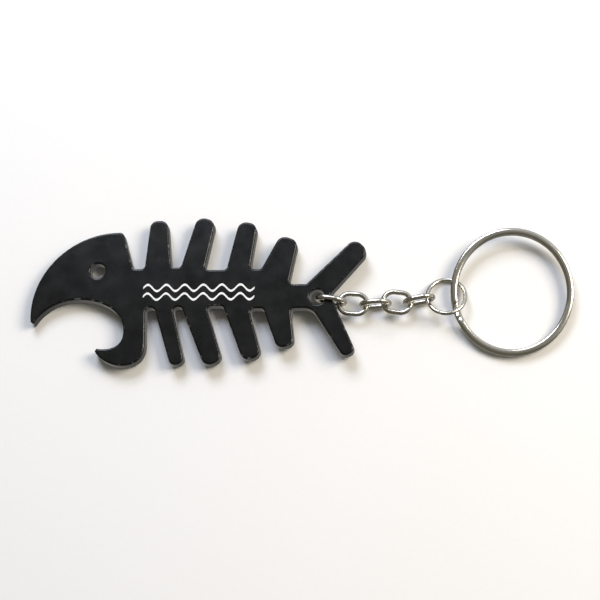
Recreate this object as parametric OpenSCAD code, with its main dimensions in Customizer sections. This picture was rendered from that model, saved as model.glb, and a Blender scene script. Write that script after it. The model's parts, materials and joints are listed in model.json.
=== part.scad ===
// Fish-skeleton bottle opener on a short chain with a split key ring.
// It lies on a table: z = 0 is the table, +X runs from the nose to the key ring, +Z is up,
// and the origin is under the middle of the whole object.

/* [Plate] */
// Thickness of the aluminium plate
plate_t = 3; // [2.4:0.1:3.1]
// Diameter of the eye hole, which also takes a lanyard
eye_d = 3.4; // [2.4:0.1:4.4]
// Diameter of the hole that the first link passes through
tail_hole_d = 3.4; // [3.2:0.1:3.6]
// Roundness of the rib tips, 1 being a full half circle
tip_roundness = 0.92; // [0.5:0.02:0.98]
// Fillet radius in the valleys between the ribs
valley_r = 0.9; // [0.3:0.1:1]

/* [Imprint] */
// Length of the printed wave motif
print_l = 25; // [14:1:26]
// Height of a printed wave from trough to crest
print_wave_h = 1.5; // [0.8:0.1:2]
// Distance between the two printed waves
print_pitch = 2; // [1.5:0.1:2.5]
// Width of a printed line
print_line = 0.5; // [0.3:0.05:0.6]
// Number of crests along a wave
print_crests = 6; // [3:1:9]

/* [Chain] */
// Outer length of a chain link
link_l = 7.3; // [7.2:0.1:7.5]
// Outer width of a chain link
link_w = 5.6; // [5.5:0.1:5.7]
// Diameter of the link wire
link_wire = 1.1; // [1:0.05:1.1]

/* [Rings] */
// Outer size of the jump ring along the chain
jump_l = 9.2; // [9:0.1:9.6]
// Outer size of the jump ring across the chain
jump_w = 10.2; // [9.8:0.1:10.4]
// Diameter of the jump ring wire
jump_wire = 0.9; // [0.7:0.05:0.95]
// Outer size of the split ring along the chain
ring_l = 26.8; // [26:0.1:32]
// Outer size of the split ring across the chain
ring_w = 28.5; // [26:0.1:32]
// Width of the split ring wire, measured radially
ring_wire_w = 1.5; // [1.2:0.1:1.6]
// Height of one turn of the split ring wire
ring_wire_h = 0.9; // [0.7:0.05:0.9]

/* [Hidden] */
LINKS = 5;
$fn = 64;
gap = 0.1;          // clearance between wires that hook into each other
coil_gap = 0.05;    // between the two turns of the split ring
curve_steps = 24;   // segments in one curve of the head
arc_step = 10;      // degrees in one segment of a fillet

// Plate outline: x from the nose, y from the line through the tail hole
tail_hole = [64.3, 0];
eye = [14.8, 6.3];
print_at = [37.9, 1.2];
brow = [[0.1, -5.4], [-1.2, 5.5], [8, 15.2], [19, 15.3]];
hook_outside = [[26.3, -10.5], [26.6, -17.4], [17.4, -16.4], [15.1, -12.2]];
throat = [[15.4, -11.6], [18.9, -12.1], [21.5, -11], [21.3, -7.5]];
mouth = [[21.3, -7.5], [21.1, 0.2], [5.8, 3], [0.8, -5.9]];
brow_corner = [20.1, 15.3];
nape = [22.8, 6.7];
hook_root = [26, -2.3];
notch = [67.2, 0.6];
// Each rib is its first root, its second root, the middle of its tip, and the width at its tip
upper_ribs = [
    [[25.4, 6.7], [31.4, 7], [28.2, 18], 3.8],
    [[33.6, 7], [38.9, 6.4], [39, 18.4], 4.3],
    [[43.9, 6.4], [49.2, 6.5], [48.5, 17.4], 4.2],
    [[51.7, 6.5], [57.9, 3], [57.8, 13.7], 4.3]
];
upper_fin = [[61.9, 3], notch, [74, 12], 4.5];
lower_fin = [notch, [63.2, -2.5], [71.7, -12.9], 3];
fin_root_r = 3;     // fillet where the lower fin meets the belly
lower_ribs = [
    [[58.5, -2.5], [52.4, -2.5], [57.7, -11.2], 3.8],
    [[49.3, -2.5], [43.4, -1.9], [50.4, -13.9], 4.2],
    [[39.7, -1.9], [34.1, -2.1], [41.8, -15], 4.2],
    [[32.1, -2.1], [28, -2.3], [33.8, -15.2], 3.2]
];

// Rest pose of the plate: the tail lies on the lower run of the first link
tail_rise = link_wire + 0.15;
tail_lift = asin(tail_rise / tail_hole.x);

// A link is a flat oval of wire with two straight sides and two half-circle ends
bend_r = (link_w - link_wire) / 2;
run_l = link_l - link_w;
window_r = bend_r - link_wire / 2;

// Rest pose of the chain: odd links stand on edge, even links lie flat between them
hook_x = -0.1;                      // where link 1 stands in the tail hole
seat_r = window_r - link_wire / 2 - gap;
seat_dip = 20;                      // how far a hooked wire sits below the pull line, in degrees
chain_pitch = run_l + bend_r + seat_r * cos(seat_dip);
edge_z = link_w / 2;
flat_z = edge_z - seat_r * sin(seat_dip);
link_yaw = [-8, -4, 4, -7, 11];     // heading of each link
hook_side = [-0.2, -0.1, 0.6, 0.3]; // how far to its left each next link sits in the bend

// Rest pose of the rings: the jump ring climbs over one side of the split ring and under the other
jump_half_l = (jump_l - jump_wire) / 2;
jump_half_w = (jump_w - jump_wire) / 2;
jump_tilt = 22;
jump_yaw = 8;                       // heading from link 5 to the jump ring's centre
jump_z = jump_half_w * sin(jump_tilt) + jump_wire / 2;
jump_hook_z = jump_z + jump_half_l * sin(jump_yaw) * sin(jump_tilt);
jump_seat_r = window_r - jump_wire / 2 - 1.6 * gap;
jump_seat_x = sqrt(pow(jump_seat_r, 2) - pow(edge_z - jump_hook_z, 2));
ring_tilt = 5;
ring_h = 2 * ring_wire_h + coil_gap;
ring_from_jump = [0.9 + ring_l / 2, 1];

// Split ring: a coil of two turns, whose wire climbs from the lower turn to the upper one
ramp_from = 192;
ramp_to = 210;
ramp_gap = 2;                       // degrees between a cut end and the ramp
ramp_lap = 1.2;                     // degrees of a turn that the ramp's end is buried in

function unit(v) = v / norm(v);
function heading(a) = [cos(a), sin(a)];
function bezier(p, t) =
    pow(1 - t, 3) * p[0] + 3 * t * pow(1 - t, 2) * p[1] + 3 * t * t * (1 - t) * p[2] + t * t * t * p[3];
function curve(p) = [for (i = [0 : curve_steps]) bezier(p, i / curve_steps)];

// Points of the fillet of radius r at corner b, between the corners a and c
function fillet(a, b, c, r) =
    let (
        u = unit(a - b),
        v = unit(c - b),
        half = acos(u * v) / 2,
        centre = b + unit(u + v) * r / sin(half),
        start = b + u * r / tan(half) - centre,
        turn = sign(cross(v, u)) * (180 - 2 * half),
        a0 = atan2(start.y, start.x),
        n = max(1, ceil(abs(turn) / arc_step))
    )
    [for (i = [0 : n]) centre + r * heading(a0 + turn * i / n)];

// A run of corners, each [point, radius], with all but the first and last rounded
function rounded(corners) = [
    for (i = [1 : len(corners) - 2])
        each fillet(corners[i - 1][0], corners[i][0], corners[i + 1][0], corners[i][1])
];

// Corners of one rib or fin: the roots take the valley fillet, and the tip is rounded
function rib(r) =
    let (
        along = unit(r[2] - (r[0] + r[1]) / 2),
        across = [-along.y, along.x] * r[3] / 2,
        tip_r = tip_roundness * r[3] / 2
    )
    [[r[0], valley_r], [r[2] + across, tip_r], [r[2] - across, tip_r], [r[1], valley_r]];

function without_first(list) = [for (i = [1 : len(list) - 1]) list[i]];
function without_ends(list) = [for (i = [1 : len(list) - 2]) list[i]];

// The outline runs from the jaw tip over the brow, the back, the tail, the belly and the hook
outline = concat(
    curve(brow),
    rounded(concat(
        [[brow[3], 0], [brow_corner, 1], [nape, valley_r]],
        [for (r = upper_ribs) each rib(r)],
        rib(upper_fin),
        without_ends(rib(lower_fin)),
        [[lower_fin[1], fin_root_r]],
        [for (r = lower_ribs) each rib(r)],
        [[hook_root, valley_r], [hook_outside[0], 0]]
    )),
    curve(hook_outside),
    curve(throat),
    without_first(curve(mouth))
);

// Centre of link i, counted from 0, in the plate's own x and y
function link_at(i) = i == 0
    ? tail_hole + [hook_x, 0] + (bend_r + run_l / 2) * heading(link_yaw[0])
    : link_at(i - 1) + link_step(link_yaw[i - 1], link_yaw[i], hook_side[i - 1]);

// From one link's centre to the next one's: a wire that sits to the side is closer in
function link_step(yaw, next_yaw, side) =
    let (slack = seat_r - sqrt(pow(seat_r, 2) - pow(side, 2)))
    (chain_pitch - slack) / 2 * (heading(yaw) + heading(next_yaw))
        + side * heading((yaw + next_yaw) / 2 + 90);

jump_hook = link_at(LINKS - 1) + (run_l / 2 + jump_seat_x) * heading(link_yaw[LINKS - 1]);
jump_at = jump_hook + jump_half_l * heading(jump_yaw);
ring_at = jump_at + ring_from_jump;
ring_z = (ring_w * sin(ring_tilt) + ring_h * cos(ring_tilt)) / 2;

// The origin goes under the middle of the whole object
x_min = -plate_t * sin(tail_lift);
x_max = ring_at.x + ring_l / 2;
y_min = min([for (p = outline) p.y]);
y_max = max([for (p = outline) p.y]);
module placed() {
    translate([-(x_min + x_max) / 2, -(y_min + y_max) / 2, 0]) children();
}

// Puts what is drawn in the plate's own frame where the plate lies
module on_plate() {
    placed() rotate([0, -tail_lift, 0]) children();
}

module through_hole(at, d) {
    translate([at.x, at.y, -1]) cylinder(d = d, h = plate_t + 2);
}

module opener() {
    color("dimgray") on_plate() difference() {
        linear_extrude(plate_t) polygon(outline);
        through_hole(eye, eye_d);
        through_hole(tail_hole, tail_hole_d);
    }
}

// Two printed wave lines
module imprint() {
    film_t = 0.05;
    steps = 10 * print_crests;
    wave = [
        for (i = [0 : steps])
            [(i / steps - 0.5) * print_l, print_wave_h / 2 * sin(360 * print_crests * i / steps)]
    ];
    band = concat(
        [for (p = wave) p + [0, print_line / 2]],
        [for (i = [steps : -1 : 0]) wave[i] - [0, print_line / 2]]
    );
    color("white") on_plate() translate([print_at.x, print_at.y, plate_t])
        for (side = [-1, 1]) translate([0, side * print_pitch / 2, 0])
            linear_extrude(film_t) polygon(band);
}

// A link lying flat with its length along X
module link_shape() {
    for (side = [-1, 1]) {
        translate([side * run_l / 2, 0, 0]) rotate([0, 0, -side * 90])
            rotate_extrude(angle = 180) translate([bend_r, 0]) circle(d = link_wire);
        translate([-run_l / 2, side * bend_r, 0]) rotate([0, 90, 0])
            cylinder(d = link_wire, h = run_l);
    }
}

// Link i, counted from 0
module link(i) {
    on_edge = i % 2 == 0;
    color("silver") placed() translate([link_at(i).x, link_at(i).y, on_edge ? edge_z : flat_z])
        rotate([0, 0, link_yaw[i]]) rotate([on_edge ? 90 : 0, 0, 0]) link_shape();
}

// An oval is four arcs that meet at 45 degrees, of one radius at the sides and one at the ends
function oval_spread(half_l, half_w) = (half_w - half_l) / (2 * cos(45) - 1);
function oval_side_r(half_l, half_w) = (half_l + half_w + oval_spread(half_l, half_w)) / 2;
function oval_end_r(half_l, half_w) = (half_l + half_w - oval_spread(half_l, half_w)) / 2;

// Sweeps a profile along one arc of an oval: 0 is the side at +X, and 1 is the end at +Y
module oval_arc(half_l, half_w, quarter) {
    at_side = quarter % 2 == 0;
    r = at_side ? oval_side_r(half_l, half_w) : oval_end_r(half_l, half_w);
    rotate([0, 0, 90 * quarter]) translate([(at_side ? half_l : half_w) - r, 0, 0]) rotate([0, 0, -45])
        rotate_extrude(angle = 90) translate([r, 0]) children();
}

module jump_ring() {
    cut_at = 250;
    cut = 0.08;     // opening where the wire's ends meet
    color("silver") placed() translate([jump_at.x, jump_at.y, jump_z]) rotate([-jump_tilt, 0, 0])
        difference() {
            for (quarter = [0 : 3]) oval_arc(jump_half_l, jump_half_w, quarter) circle(d = jump_wire);
            rotate([0, 0, cut_at]) translate([0, -cut / 2, -jump_wire]) cube([jump_w, cut, 2 * jump_wire]);
        }
}

module split_ring() {
    half_l = (ring_l - ring_wire_w) / 2;
    half_w = (ring_w - ring_wire_w) / 2;
    side_r = half_w * half_w / half_l;      // how round the ellipse is at its left side
    step = ring_wire_h + coil_gap;
    module band(low, high) {
        translate([0, 0, low]) linear_extrude(high - low) difference() {
            scale([ring_l / 2, ring_w / 2]) circle(r = 1);
            scale([ring_l / 2 - ring_wire_w, ring_w / 2 - ring_wire_w]) circle(r = 1);
        }
    }
    // Draws children about the centre of the left side's curve, which lies right of the middle
    module on_left_side() {
        translate([side_r - half_l, 0, 0]) children();
    }
    module turn(low, cut_from, cut_to) {
        difference() {
            band(low, low + ring_wire_h);
            on_left_side() translate([0, 0, -1]) linear_extrude(ring_h + 2)
                polygon([[0, 0], 2 * side_r * heading(cut_from), 2 * side_r * heading(cut_to)]);
        }
    }
    // The side view of the climbing wire, with x along the ring and y up, drawn out across the wire
    module ramp() {
        climb_l = side_r * (ramp_to - ramp_from) * PI / 180;
        profile = [
            [-climb_l / 2, 0], [climb_l / 2, step], [climb_l / 2, ring_h], [-climb_l / 2, ring_wire_h]
        ];
        intersection() {
            band(0, ring_h);
            on_left_side() rotate([0, 0, (ramp_from + ramp_to) / 2])
                translate([side_r + ring_wire_w, 0, 0]) rotate([90, 0, -90])
                    mirror([1, 0, 0]) linear_extrude(2 * ring_wire_w) polygon(profile);
        }
    }
    color("silver") placed() translate([ring_at.x, ring_at.y, ring_z]) rotate([ring_tilt, 0, 0])
        translate([0, 0, -ring_h / 2]) {
            turn(0, ramp_from + ramp_lap, ramp_to + ramp_gap);
            turn(step, ramp_from - ramp_gap, ramp_to - ramp_lap);
            ramp();
        }
}

opener();
imprint();
for (i = [0 : LINKS - 1]) link(i);
jump_ring();
split_ring();
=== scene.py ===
"""Looks of the fish-skeleton bottle opener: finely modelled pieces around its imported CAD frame."""
import json
import math

import bmesh
import bpy
import numpy as np
from mathutils import Matrix, Vector
from mathutils.geometry import tessellate_polygon


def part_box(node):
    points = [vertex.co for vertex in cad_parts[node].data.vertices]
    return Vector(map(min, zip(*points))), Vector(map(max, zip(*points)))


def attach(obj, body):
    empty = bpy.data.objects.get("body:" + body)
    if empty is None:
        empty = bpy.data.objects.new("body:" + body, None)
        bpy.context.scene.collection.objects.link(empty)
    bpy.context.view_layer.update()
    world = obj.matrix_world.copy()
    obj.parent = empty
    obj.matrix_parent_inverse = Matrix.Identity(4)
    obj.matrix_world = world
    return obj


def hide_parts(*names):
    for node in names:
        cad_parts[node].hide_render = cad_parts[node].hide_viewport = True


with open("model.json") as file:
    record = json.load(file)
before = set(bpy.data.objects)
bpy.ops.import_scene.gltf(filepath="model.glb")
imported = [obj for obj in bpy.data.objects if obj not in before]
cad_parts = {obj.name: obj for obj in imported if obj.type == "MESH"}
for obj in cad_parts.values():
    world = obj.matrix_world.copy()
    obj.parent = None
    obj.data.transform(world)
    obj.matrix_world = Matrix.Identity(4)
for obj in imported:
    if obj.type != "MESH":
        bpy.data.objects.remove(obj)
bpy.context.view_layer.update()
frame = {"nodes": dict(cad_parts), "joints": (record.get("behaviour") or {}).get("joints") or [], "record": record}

MM = 0.001

# Plate
EDGE_TOP_R = 0.42 * MM          # rounding of the upper edge, from tumbling
EDGE_BOTTOM_R = 0.28 * MM
EDGE_STEPS = 7
LOWER_WEAR_AND_HIGHLIGHT = 0.6                # wear and painted highlight of the lower edge, as a share of the upper edge's
HOLE_STEPS = 96
SHARP_ABOVE = 30                # degrees of turn at which the plate's wall has a corner
INSET_REACH = 0.4               # least cosine that an inset is divided by, at a narrow corner
FACES_UP = 0.9                  # least upward share of a normal of the plate's top
TOP_WITHIN = 0.01 * MM          # how near the greatest height the middle of a top face lies
WELD = 0.001 * MM               # points nearer to each other than this become one

# Wire
LINK_L = 7.3 * MM
LINK_W = 5.6 * MM
LINK_WIRE = 1.1 * MM
JUMP_WIRE = 0.9 * MM
COIL_W = 1.5 * MM               # the split ring's flattened wire
COIL_H = 0.9 * MM
COIL_GAP = 0.05 * MM
COIL_ROUNDNESS = 2.5            # 2 is an ellipse, and more is squarer
COIL_SIDES = 40
WIRE_SIDES = 28
WIRE_SHARP_ABOVE = 40           # degrees of turn at which a wire's surface has an edge
BEND_STEPS = 33                 # round each end of a link
SIDE_STEPS = 6                  # along the side of a link that has no joint
BEND_PRESSED = 0.05             # share of its thickness that a link's wire loses at its two ends
JOINT_STEPS = [0, 0.02, 0.045, 0.07, 0.1, 0.15, 0.25, 0.45]     # stations, mm from the butt joint
JOINT_DEPTH = 0.15              # share of its size that the wire loses at the butt joint
JOINT_REACH = 0.05 * MM         # about how far the joint's groove spreads to each side

# Ring ends and the split ring's ramp, in degrees round their ring
RAMP_FROM = 192                 # the split ring's wire climbs from here
RAMP_TO = 210
RAMP_GAP = 2                    # between the ramp and each cut end of the wire
COIL_STEP = 2                   # between stations on the two level turns
COIL_END_TURN = 0.6             # the stretch at each cut end over which the coil narrows
COIL_END_SIZE = 0.86            # share of its size that the coil's cut end keeps
JUMP_CUT_AT = 250               # middle of the jump ring's cut
JUMP_CUT = 2.2                  # width of the cut
JUMP_STEPS = 120
JUMP_END_SIZE = 0.92            # share of its size that the jump ring's cut end keeps

# Studio
FLOOR_SIDE = 6.0                # metres
SOFTBOX_DISTANCE = 0.6          # metres
SOFTBOX_SIZE = 0.28             # metres
SOFTBOX_POWER = 2.6             # watts
CAMERA_DISTANCE = 400 * MM
CAMERA_TOWARD = (0.10, -0.27, 0.957)        # from the object to the camera
AIM_FROM_TAIL = (-4.1 * MM, 0.44 * MM)      # middle of the picture, from link 1's joint

record = frame["record"]
joints = {joint["name"]: joint for joint in frame["joints"]}


# Materials

def new_material(name):
    material = bpy.data.materials.new(name)
    material.use_nodes = True
    nodes = material.node_tree.nodes
    return material, nodes, material.node_tree.links, nodes["Principled BSDF"]


def noise(nodes, links, coords, scale, detail, stretch=None, turn=0.0):
    """Noise with about scale features a unit of the coordinates, stretched and turned when asked."""
    texture = nodes.new("ShaderNodeTexNoise")
    texture.inputs["Scale"].default_value = scale
    texture.inputs["Detail"].default_value = detail
    if stretch:
        mapping = nodes.new("ShaderNodeMapping")
        mapping.inputs["Scale"].default_value = stretch
        mapping.inputs["Rotation"].default_value = (0, 0, math.radians(turn))
        links.new(coords, mapping.inputs["Vector"])
        coords = mapping.outputs["Vector"]
    links.new(coords, texture.inputs["Vector"])
    return texture.outputs["Fac"]


def span(nodes, links, factor, low_in, high_in, low_out, high_out):
    """Maps a factor from one range to another, held at the ends."""
    node = nodes.new("ShaderNodeMapRange")
    values = {"From Min": low_in, "From Max": high_in, "To Min": low_out, "To Max": high_out}
    for key, value in values.items():
        node.inputs[key].default_value = value
    links.new(factor, node.inputs["Value"])
    return node.outputs["Result"]


def mix_colour(nodes, links, factor, first, second):
    """Mixes two colours, each a tuple or a socket."""
    node = nodes.new("ShaderNodeMix")
    node.data_type = "RGBA"
    links.new(factor, node.inputs["Factor"])
    for key, value in ((6, first), (7, second)):        # the node's sockets for colours
        if isinstance(value, tuple):
            node.inputs[key].default_value = (*value, 1)
        else:
            links.new(value, node.inputs[key])
    return node.outputs[2]


def multiply(nodes, links, first, second):
    node = nodes.new("ShaderNodeMath")
    node.operation = "MULTIPLY"
    links.new(first, node.inputs[0])
    links.new(second, node.inputs[1])
    return node.outputs[0]


def bump(nodes, links, height, distance, strength, below=None):
    node = nodes.new("ShaderNodeBump")
    node.inputs["Strength"].default_value = strength
    node.inputs["Distance"].default_value = distance
    links.new(height, node.inputs["Height"])
    if below:
        links.new(below, node.inputs["Normal"])
    return node.outputs["Normal"]


def black_anodised():
    """Dyed aluminium, satin from tumbling, lighter grey along its rounded edges: partly bare metal where they rub,
    partly a painted highlight.
    """
    deep_dye, thin_dye = (0.0028, 0.0032, 0.0034), (0.0056, 0.0058, 0.0054)
    speck, bare_metal_and_highlight = (0.022, 0.022, 0.020), (0.26, 0.26, 0.25)
    material, nodes, links, shader = new_material("black_anodised")
    coords = nodes.new("ShaderNodeTexCoord").outputs["Object"]
    cloud = noise(nodes, links, coords, 260, 5)
    grain = noise(nodes, links, coords, 5200, 3)
    scratch_a = noise(nodes, links, coords, 1, 3, (260, 7000, 800), 33)
    scratch_b = noise(nodes, links, coords, 1, 3, (240, 6200, 800), -52)
    dye = mix_colour(nodes, links, span(nodes, links, cloud, 0.36, 0.64, 0, 1), deep_dye, thin_dye)
    dye = mix_colour(nodes, links, span(nodes, links, grain, 0.62, 0.74, 0, 0.5), dye, speck)
    wear_and_highlight = nodes.new("ShaderNodeAttribute")
    wear_and_highlight.attribute_name = "edge_wear_and_highlight"
    # Lighter grey in patches along the rounded edges: partly worn bare metal, partly a painted highlight
    wear_and_highlight_patches = span(nodes, links, noise(nodes, links, coords, 900, 6), 0.56, 0.70, 0, 0.55)
    rubbed_and_highlit = multiply(nodes, links, wear_and_highlight.outputs["Fac"], wear_and_highlight_patches)
    links.new(mix_colour(nodes, links, rubbed_and_highlit, dye, bare_metal_and_highlight), shader.inputs["Base Color"])
    links.new(span(nodes, links, cloud, 0.3, 0.7, 0.17, 0.24), shader.inputs["Roughness"])
    shader.inputs["IOR"].default_value = 1.42
    normal = bump(nodes, links, grain, 0.02 * MM, 0.35)
    normal = bump(nodes, links, scratch_a, 0.01 * MM, 0.30, normal)
    normal = bump(nodes, links, scratch_b, 0.01 * MM, 0.25, normal)
    links.new(normal, shader.inputs["Normal"])
    return material


def white_ink():
    """Pad-printed ink: matt, slightly uneven in cover, with a fine grain."""
    thin_ink, full_ink = (0.66, 0.67, 0.68), (0.88, 0.88, 0.87)
    material, nodes, links, shader = new_material("white_ink")
    coords = nodes.new("ShaderNodeTexCoord").outputs["Object"]
    cover = noise(nodes, links, coords, 1500, 4)
    grain = noise(nodes, links, coords, 9000, 2)
    colour = mix_colour(nodes, links, span(nodes, links, cover, 0.25, 0.5, 0, 1), thin_ink, full_ink)
    links.new(colour, shader.inputs["Base Color"])
    links.new(span(nodes, links, grain, 0.3, 0.7, 0.45, 0.62), shader.inputs["Roughness"])
    links.new(bump(nodes, links, grain, 0.01 * MM, 0.4), shader.inputs["Normal"])
    return material


def nickel_wire():
    """Bright nickel on drawn steel wire, with draw lines along the wire and a warm tarnish."""
    bright, tarnished = (0.70, 0.68, 0.62), (0.57, 0.54, 0.46)
    material, nodes, links, shader = new_material("nickel_wire")
    texcoord = nodes.new("ShaderNodeTexCoord")
    coords = texcoord.outputs["Object"]
    along = texcoord.outputs["UV"]
    tarnish = noise(nodes, links, coords, 420, 5)
    drawn = noise(nodes, links, along, 1, 4, (0.5, 16, 1))
    pits = noise(nodes, links, coords, 6000, 2)
    colour = mix_colour(nodes, links, span(nodes, links, tarnish, 0.35, 0.65, 0, 1), bright, tarnished)
    links.new(colour, shader.inputs["Base Color"])
    shader.inputs["Metallic"].default_value = 1.0
    links.new(span(nodes, links, tarnish, 0.3, 0.7, 0.13, 0.26), shader.inputs["Roughness"])
    normal = bump(nodes, links, drawn, 0.01 * MM, 0.35)
    normal = bump(nodes, links, span(nodes, links, pits, 0.60, 0.75, 0, 1), 0.01 * MM, 0.25, normal)
    links.new(normal, shader.inputs["Normal"])
    return material


def pale_floor():
    material, nodes, links, shader = new_material("pale_floor")
    coords = nodes.new("ShaderNodeTexCoord").outputs["Object"]
    fibre = noise(nodes, links, coords, 900, 5)
    colour = mix_colour(nodes, links, fibre, (0.86, 0.86, 0.845), (0.89, 0.89, 0.875))
    links.new(colour, shader.inputs["Base Color"])
    shader.inputs["Roughness"].default_value = 0.7
    shader.inputs["Specular IOR Level"].default_value = 0.2
    return material


# Mesh helpers

def add_object(name, mesh, material):
    thing = bpy.data.objects.new(name, mesh)
    bpy.context.scene.collection.objects.link(thing)
    mesh.materials.append(material)
    return thing


def sweep(name, stations, section, closed, material):
    """Draws a section along stations, each (point, outward, up, outward scale, up scale)."""
    count = len(section)
    lengths = [0.0]
    for last, this in zip(stations, stations[1:]):
        lengths.append(lengths[-1] + (this[0] - last[0]).length)
    if closed:
        lengths.append(lengths[-1] + (stations[0][0] - stations[-1][0]).length)
    round_lengths = [0.0]
    for k in range(count):
        a, b = section[k], section[(k + 1) % count]
        round_lengths.append(round_lengths[-1] + math.hypot(b[0] - a[0], b[1] - a[1]))

    bm = bmesh.new()
    rings = []
    for point, outward, up, out_scale, up_scale in stations:
        rings.append([
            bm.verts.new(point + outward * (a * out_scale) + up * (b * up_scale)) for a, b in section
        ])
    uv = bm.loops.layers.uv.new("along_wire")
    steps = len(rings) if closed else len(rings) - 1
    for i in range(steps):
        this, following = rings[i], rings[(i + 1) % len(rings)]
        for k in range(count):
            k2 = (k + 1) % count
            face = bm.faces.new((this[k], this[k2], following[k2], following[k]))
            corners = ((i, k), (i, k + 1), (i + 1, k + 1), (i + 1, k))
            for loop, (row, column) in zip(face.loops, corners):
                loop[uv].uv = (lengths[row] / MM, round_lengths[column] / MM)
    if not closed:
        for ring in (rings[0], rings[-1]):
            bm.faces.new(ring)
    bmesh.ops.recalc_face_normals(bm, faces=bm.faces)
    mesh = bpy.data.meshes.new(name)
    bm.to_mesh(mesh)
    bm.free()
    mesh.polygons.foreach_set("use_smooth", [True] * len(mesh.polygons))
    mesh.set_sharp_from_angle(angle=math.radians(WIRE_SHARP_ABOVE))
    mesh.update()
    return add_object(name, mesh, material)


def round_section(diameter):
    turns = [2 * math.pi * k / WIRE_SIDES for k in range(WIRE_SIDES)]
    return [(diameter / 2 * math.cos(t), diameter / 2 * math.sin(t)) for t in turns]


def flattened_section(width, height, roundness):
    """Section of a rolled wire: an oval whose faces are flatter than an ellipse's."""
    points = []
    for k in range(COIL_SIDES):
        t = 2 * math.pi * k / COIL_SIDES
        c, s = math.cos(t), math.sin(t)
        x = math.copysign(abs(c) ** (2 / roundness), c)
        y = math.copysign(abs(s) ** (2 / roundness), s)
        points.append((width / 2 * x, height / 2 * y))
    return points


def middle(node):
    low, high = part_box(node)
    return (low + high) / 2


def node_points(node):
    return np.array([v.co for v in frame["nodes"][node].data.vertices])


# Plate

def lift_matrix():
    """Turns the level plate to the way it lies, its tail raised by the first link."""
    eye = next(mount for mount in record["mounts"] if mount["name"] == "eye_hole")
    up = Vector(eye["axis"])
    return Matrix.Rotation(math.atan2(up.x, up.z), 4, "Y")


def plate_loops(bm, top):
    """Edge loops of the top face, with the metal on their left, the one with most points first."""
    following = {}
    for edge in bm.edges:
        above = [
            f for f in edge.link_faces
            if f.normal.z > FACES_UP and f.calc_center_median().z > top - TOP_WITHIN
        ]
        if len(above) == 1:
            loop = next(l for l in edge.link_loops if l.face == above[0])
            following[loop.vert] = loop.link_loop_next.vert
    loops = []
    while following:
        vert = next(iter(following))
        points = []
        while vert in following:
            points.append(vert.co.to_2d())
            vert = following.pop(vert)
        loops.append(points)
    return sorted(loops, key=len, reverse=True)


def true_circle(points):
    """A finer clockwise circle through the points of a drilled hole's edge."""
    centre = sum(points, Vector((0, 0))) / len(points)
    radius = sum((p - centre).length for p in points) / len(points)
    turns = [-2 * math.pi * k / HOLE_STEPS for k in range(HOLE_STEPS)]
    return [centre + radius * Vector((math.cos(t), math.sin(t))) for t in turns]


def inset(points, distance):
    """Moves a loop into the metal on its left by the distance."""
    moved = []
    for i, point in enumerate(points):
        ahead = (points[(i + 1) % len(points)] - point).normalized()
        behind = (point - points[i - 1]).normalized()
        normal = (Vector((-behind.y, behind.x)) + Vector((-ahead.y, ahead.x))).normalized()
        reach = max(normal.dot(Vector((-ahead.y, ahead.x))), INSET_REACH)
        moved.append(point + normal * distance / reach)
    return moved


def edge_profile(bottom, top):
    """Rows down the plate's rounded edge: (inset, height, normal's outward and upward share, wear with painted
    highlight).
    """
    # The last share, greatest midway round each edge, lightens the colour there: partly wear, partly a painted
    # highlight
    profile = []
    for k in range(EDGE_STEPS + 1):
        t = math.pi / 2 * k / EDGE_STEPS
        outward, upward = math.sin(t), math.cos(t)
        height = top - EDGE_TOP_R * (1 - upward)
        profile.append((EDGE_TOP_R * (1 - outward), height, outward, upward, math.sin(2 * t)))
    for k in range(EDGE_STEPS + 1):
        t = math.pi / 2 * (1 - k / EDGE_STEPS)
        outward, downward = math.sin(t), math.cos(t)
        height = bottom + EDGE_BOTTOM_R * (1 - downward)
        wear_and_highlight = LOWER_WEAR_AND_HIGHLIGHT * math.sin(2 * t)
        profile.append((EDGE_BOTTOM_R * (1 - outward), height, outward, -downward, wear_and_highlight))
    return profile


def wall_directions(points):
    """Outward directions at both ends of each stretch of a loop, shared at all but sharp corners."""
    stretches = [points[(k + 1) % len(points)] - point for k, point in enumerate(points)]
    normals = [Vector((s.y, -s.x)).normalized() for s in stretches]
    starts, ends = list(normals), list(normals)
    for k in range(len(points)):
        if normals[k].dot(normals[k - 1]) > math.cos(math.radians(SHARP_ABOVE)):
            shared = normals[k] * stretches[k].length + normals[k - 1] * stretches[k - 1].length
            starts[k] = ends[k - 1] = shared.normalized()
    return starts, ends


def plate_mesh(loops, bottom, top):
    """Points, faces, corner normals and edge wear with painted highlight of the level plate."""
    points, faces, normals, wears_and_highlights = [], [], [], []
    profile = edge_profile(bottom, top)
    rims = {"top": [], "bottom": []}
    for loop in loops:
        first = len(points)
        count = len(loop)
        for distance, height, _, _, wear_and_highlight in profile:
            points += [Vector((p.x, p.y, height)) for p in inset(loop, distance)]
            wears_and_highlights += [wear_and_highlight] * count
        starts, ends = wall_directions(loop)
        for row in range(len(profile) - 1):
            upper, lower = first + row * count, first + (row + 1) * count
            for k in range(count):
                k2 = (k + 1) % count
                faces.append((upper + k, lower + k, lower + k2, upper + k2))
                start, end = starts[k], ends[k]
                for step, direction in ((row, start), (row + 1, start), (row + 1, end), (row, end)):
                    _, _, outward, upward, _ = profile[step]
                    normals.append(Vector((*(direction * outward), upward)))
        rims["top"].append(range(first, first + count))
        rims["bottom"].append(range(len(points) - count, len(points)))
    for side, up in (("top", 1), ("bottom", -1)):
        corners = [i for rim in rims[side] for i in rim]
        for a, b, c in tessellate_polygon([[points[i] for i in rim] for rim in rims[side]]):
            face = [corners[a], corners[b], corners[c]]
            facing = (points[face[1]] - points[face[0]]).cross(points[face[2]] - points[face[0]]).z
            faces.append(tuple(face if facing * up > 0 else reversed(face)))
            normals += [Vector((0, 0, up))] * 3
    return points, faces, normals, wears_and_highlights


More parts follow.
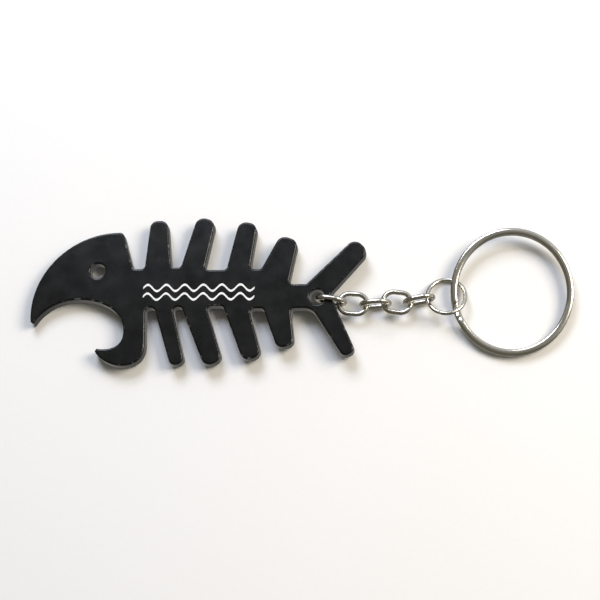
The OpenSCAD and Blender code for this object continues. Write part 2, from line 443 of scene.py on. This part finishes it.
def make_plate(material):
    """The fish, with every edge of its outline and its holes rounded over."""
    lift = lift_matrix()
    level = bmesh.new()
    level.from_mesh(frame["nodes"]["opener"].data)
    level.transform(lift.inverted())
    bmesh.ops.remove_doubles(level, verts=level.verts, dist=WELD)
    level.normal_update()
    heights = [v.co.z for v in level.verts]
    bottom, top = min(heights), max(heights)
    outline, *holes = plate_loops(level, top)
    level.free()
    loops = [outline] + [true_circle(hole) for hole in holes]
    points, faces, normals, wears_and_highlights = plate_mesh(loops, bottom, top)

    mesh = bpy.data.meshes.new("fish_plate")
    mesh.from_pydata([lift @ p for p in points], [], faces)
    mesh.polygons.foreach_set("use_smooth", [True] * len(faces))
    turn = lift.to_3x3()
    mesh.normals_split_custom_set([turn @ n for n in normals])
    # Lighter grey along the rounded edges, read by the plate's material: partly wear, partly a painted highlight
    mesh.attributes.new("edge_wear_and_highlight", "FLOAT", "POINT").data.foreach_set("value", wears_and_highlights)
    mesh.update()
    plate = add_object("fish_plate", mesh, material)
    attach(plate, "opener")
    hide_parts("opener")


# Chain

def link_pose(node):
    """(centre, along, across) of a link: along its length, and across its window."""
    points = node_points(node) - np.array(middle(node))
    _, axes = np.linalg.eigh(np.cov(points[:, :2].T))
    along = Vector((*axes[:, 1], 0)).normalized()
    if along.x < 0:
        along.negate()
    low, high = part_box(node)
    on_edge = high.z - low.z > 2 * LINK_WIRE
    across = Vector((0, 0, 1)) if on_edge else Vector((-along.y, along.x, 0))
    return middle(node), along, across


def link_stations(centre, along, across):
    """A stadium loop that starts and ends at its butt joint, in the middle of one side."""
    run = LINK_L - LINK_W
    bend_r = (LINK_W - LINK_WIRE) / 2
    up = along.cross(across)
    near = [min(step * MM, run / 2) for step in JOINT_STEPS]
    path = [(x, -bend_r, 0, -1) for x in near]
    for k in range(1, BEND_STEPS):
        t = math.radians(-90 + 180 * k / BEND_STEPS)
        path.append((run / 2 + bend_r * math.cos(t), bend_r * math.sin(t), math.cos(t), math.sin(t)))
    for k in range(SIDE_STEPS + 1):
        path.append((run / 2 - run * k / SIDE_STEPS, bend_r, 0, 1))
    for k in range(1, BEND_STEPS):
        t = math.radians(90 + 180 * k / BEND_STEPS)
        path.append((-run / 2 + bend_r * math.cos(t), bend_r * math.sin(t), math.cos(t), math.sin(t)))
    path += [(-x, -bend_r, 0, -1) for x in reversed(near[1:])]
    stations = []
    for x, y, nx, ny in path:
        pressed = 1 - BEND_PRESSED * nx * nx
        from_joint = abs(x) if y < 0 and nx == 0 else run
        groove = 1 - JOINT_DEPTH * math.exp(-(from_joint / JOINT_REACH) ** 2)
        outward = along * nx + across * ny
        point = centre + along * x + across * y
        stations.append((point, outward, up, pressed * groove, groove))
    return stations


def make_links(material):
    for i in range(1, 6):
        node = f"link_{i}"
        stations = link_stations(*link_pose(node))
        piece = sweep(f"{node}_wire", stations, round_section(LINK_WIRE), True, material)
        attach(piece, node)
        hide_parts(node)


# Rings

def oval_point(angle, half_l, half_w):
    """(x, y) on the middle line of an oval ring, where its outward direction is at the angle."""
    x, y = half_l * math.cos(math.radians(angle)), half_w * math.sin(math.radians(angle))
    reach = math.hypot(x, y)
    return half_l * x / reach, half_w * y / reach


def oval_station(centre, axes, sizes, angle, height, size):
    """A sweep station on an oval, given its (right, forward, up) axes and its two half sizes."""
    right, forward, up = axes
    x, y = oval_point(angle, *sizes)
    t = math.radians(angle)
    outward = right * math.cos(t) + forward * math.sin(t)
    return centre + right * x + forward * y + up * height, outward, up, size, size


def make_jump_ring(material):
    """A round of wire, cut across, whose two ends almost meet."""
    low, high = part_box("jump_ring")
    reach = high - low - Vector((JUMP_WIRE, JUMP_WIRE, JUMP_WIRE))
    tilt = math.atan2(reach.z, reach.y)
    up = Vector((0, math.sin(tilt), math.cos(tilt)))
    right = Vector((1, 0, 0))
    axes = (right, up.cross(right), up)
    sizes = (reach.x / 2, math.hypot(reach.y, reach.z) / 2)
    stations = []
    for k in range(JUMP_STEPS + 1):
        angle = JUMP_CUT_AT + JUMP_CUT / 2 + (360 - JUMP_CUT) * k / JUMP_STEPS
        size = JUMP_END_SIZE if k in (0, JUMP_STEPS) else 1.0
        stations.append(oval_station(middle("jump_ring"), axes, sizes, angle, 0, size))
    piece = sweep("jump_ring_wire", stations, round_section(JUMP_WIRE), False, material)
    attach(piece, "jump_ring")
    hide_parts("jump_ring")


def make_split_ring(material):
    """A coil of two turns of flattened wire that climbs from the lower turn to the upper one."""
    up = Vector(joints["split_ring_spin"]["axis"]).normalized()
    right = Vector((1, 0, 0))
    axes = (right, up.cross(right), up)
    low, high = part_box("split_ring")
    tilt_rise = (2 * COIL_H + COIL_GAP) * abs(up.y)
    half_l = (high.x - low.x - COIL_W) / 2
    half_w = ((high.y - low.y - tilt_rise) / abs(up.z) - COIL_W) / 2
    level = (COIL_H + COIL_GAP) / 2
    climb_from, climb_to = RAMP_FROM + 360, RAMP_TO + 360
    start, end = RAMP_TO + RAMP_GAP, RAMP_FROM - RAMP_GAP + 720
    angles = [start, start + COIL_END_TURN]
    angles += [*range(start + COIL_STEP, climb_from, COIL_STEP), *range(climb_from, climb_to)]
    angles += [*range(climb_to, end, COIL_STEP), end - COIL_END_TURN, end]
    stations = []
    for angle in angles:
        climbed = min(max((angle - climb_from) / (climb_to - climb_from), 0), 1)
        climbed = climbed * climbed * (3 - 2 * climbed)
        size = COIL_END_SIZE if angle in (start, end) else 1.0
        height = level * (2 * climbed - 1)
        stations.append(oval_station(middle("split_ring"), axes, (half_l, half_w), angle, height, size))
    section = flattened_section(COIL_W, COIL_H, COIL_ROUNDNESS)
    piece = sweep("split_ring_coil", stations, section, False, material)
    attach(piece, "split_ring")
    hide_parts("split_ring")


# Studio

def make_floor():
    bm = bmesh.new()
    bmesh.ops.create_grid(bm, x_segments=8, y_segments=8, size=FLOOR_SIDE / 2)
    mesh = bpy.data.meshes.new("floor")
    bm.to_mesh(mesh)
    bm.free()
    floor = add_object("floor", mesh, pale_floor())
    floor.visible_glossy = False        # the wires would lose their dark flanks to its glare


def add_softbox(name, toward, colour):
    """A square soft light that stands in a direction from the object and faces it."""
    light = bpy.data.lights.new(name, "AREA")
    light.size = SOFTBOX_SIZE
    light.energy = SOFTBOX_POWER
    light.color = colour
    lamp = bpy.data.objects.new(name, light)
    bpy.context.scene.collection.objects.link(lamp)
    direction = Vector(toward).normalized()
    lamp.location = direction * SOFTBOX_DISTANCE
    lamp.rotation_mode = "QUATERNION"
    lamp.rotation_quaternion = direction.to_track_quat("Z", "Y")


def make_world():
    """A dim room with pale walls to the right and behind, and the pale table straight below."""
    room, walls, table = (0.135, 0.125, 0.100), (0.66, 0.68, 0.70), (0.42, 0.41, 0.39)
    world = bpy.data.worlds.new("room")
    bpy.context.scene.world = world
    world.use_nodes = True
    nodes, links = world.node_tree.nodes, world.node_tree.links
    coords = nodes.new("ShaderNodeTexCoord").outputs["Generated"]
    toward_walls = nodes.new("ShaderNodeVectorMath")
    toward_walls.operation = "DOT_PRODUCT"
    toward_walls.inputs[1].default_value = (0.70, 0.70, 0.14)       # right, back and a little up
    links.new(coords, toward_walls.inputs[0])
    lit = span(nodes, links, toward_walls.outputs["Value"], 0.0, 0.9, 0, 1)
    colour = mix_colour(nodes, links, lit, room, walls)
    split = nodes.new("ShaderNodeSeparateXYZ")
    links.new(coords, split.inputs[0])
    # Full within 23 degrees of straight down, and gone at 57
    below = span(nodes, links, split.outputs["Z"], -0.92, -0.55, 1, 0)
    colour = mix_colour(nodes, links, below, colour, table)
    links.new(colour, nodes["Background"].inputs["Color"])


def make_camera():
    """Looks down at the object from its belly side, a little from the ring's end."""
    tail = Vector(joints["link_1_swing"]["pos_m"])
    aim = Vector((tail.x + AIM_FROM_TAIL[0], tail.y + AIM_FROM_TAIL[1], 0))
    toward = Vector(CAMERA_TOWARD).normalized()
    right = Vector((1, 0, 0))
    right = (right - toward * right.dot(toward)).normalized()
    up = toward.cross(right)
    data = bpy.data.cameras.new("camera")
    data.sensor_width = 36
    data.lens = 108
    data.clip_start = 0.01
    camera = bpy.data.objects.new("camera", data)
    bpy.context.scene.collection.objects.link(camera)
    turn = Matrix((right, up, toward)).transposed().to_4x4()
    camera.matrix_world = Matrix.Translation(aim + toward * CAMERA_DISTANCE) @ turn
    bpy.context.scene.camera = camera


make_camera()
make_plate(black_anodised())
wire_material = nickel_wire()
make_links(wire_material)
make_jump_ring(wire_material)
make_split_ring(wire_material)
frame["nodes"]["imprint"].data.materials.clear()
frame["nodes"]["imprint"].data.materials.append(white_ink())
make_floor()
make_world()
add_softbox("warm_softbox", (0.84, 0.25, 0.88), (1.0, 0.90, 0.76))
add_softbox("cool_softbox", (-0.26, 0.78, 0.88), (0.77, 0.82, 0.97))
bpy.context.scene.view_settings.view_transform = "Standard"
